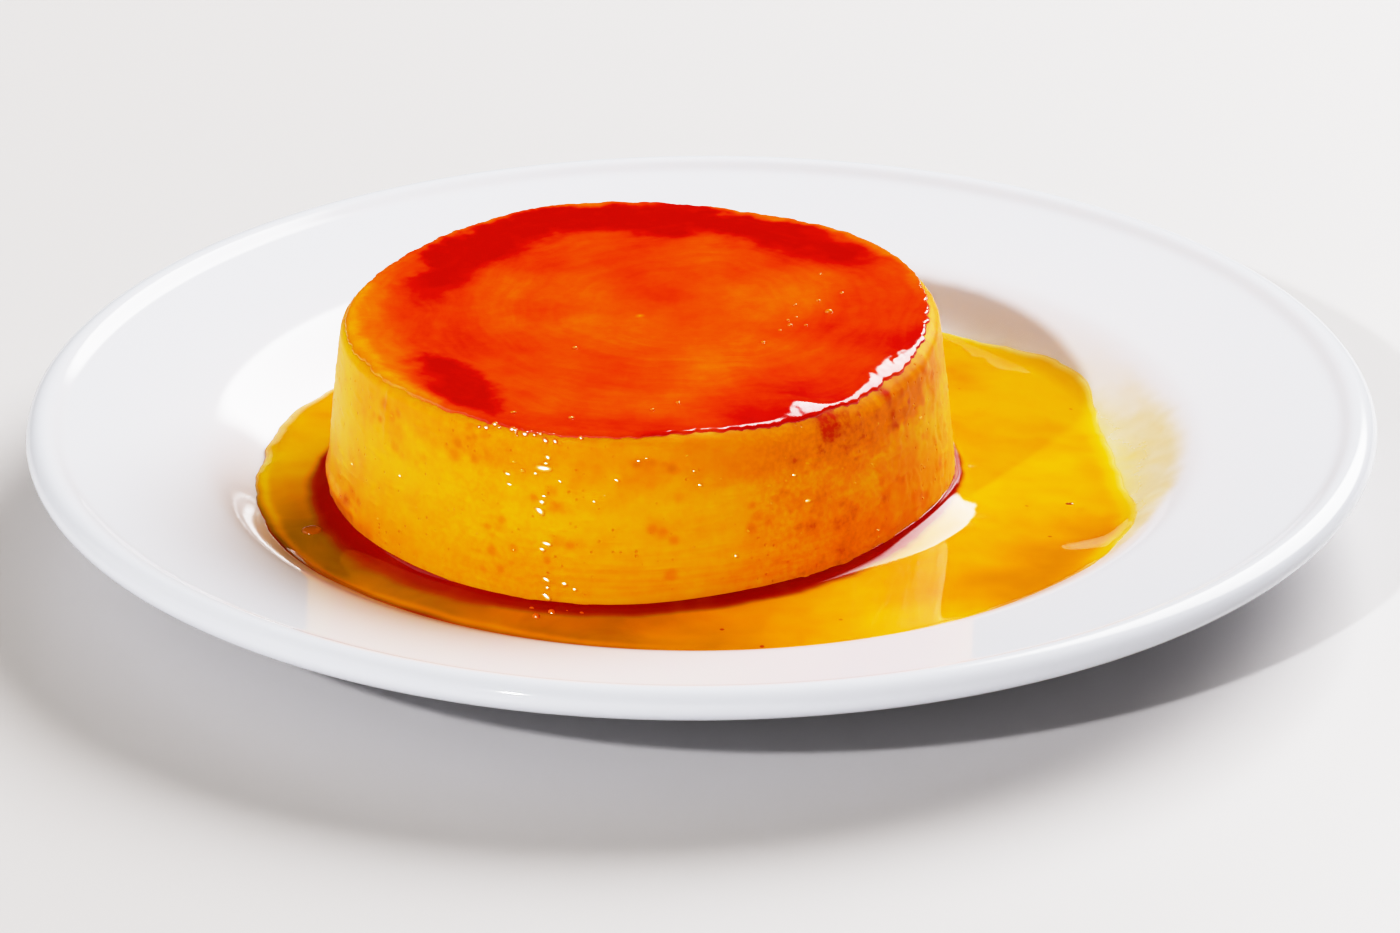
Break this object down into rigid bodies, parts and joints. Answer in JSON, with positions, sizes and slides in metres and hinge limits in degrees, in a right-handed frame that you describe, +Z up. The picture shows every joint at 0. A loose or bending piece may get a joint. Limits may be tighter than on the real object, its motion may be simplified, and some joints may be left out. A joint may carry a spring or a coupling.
{
  "type": "creme caramel flan on a plate",
  "caption": "Round creme caramel flan with a soft caramel top, in a pool of thin caramel sauce on a wide-rimmed white dessert plate.",
  "frame": {"origin": "centre of the plate's foot, on the table", "axes": "+Z up, -Y towards the diner; the flan stands a little to -X and -Y of the plate's middle"},
  "size_m": [0.216, 0.216, 0.039],
  "materials": {
    "porcelain": "white porcelain under a clear glossy glaze",
    "custard": "set egg custard, golden yellow, wet and slightly translucent, with small browned pits",
    "caramel_layer": "soft caramel soaked into the custard, deep orange to red, wet gloss",
    "caramel_sauce": "thin clear caramel syrup, yellow to amber brown, wet gloss"
  },
  "bodies": {
    "root": {"plate": "porcelain", "custard": "custard", "caramel_layer": "caramel_layer", "sauce_pool": "caramel_sauce"}
  },
  "joints": []
}
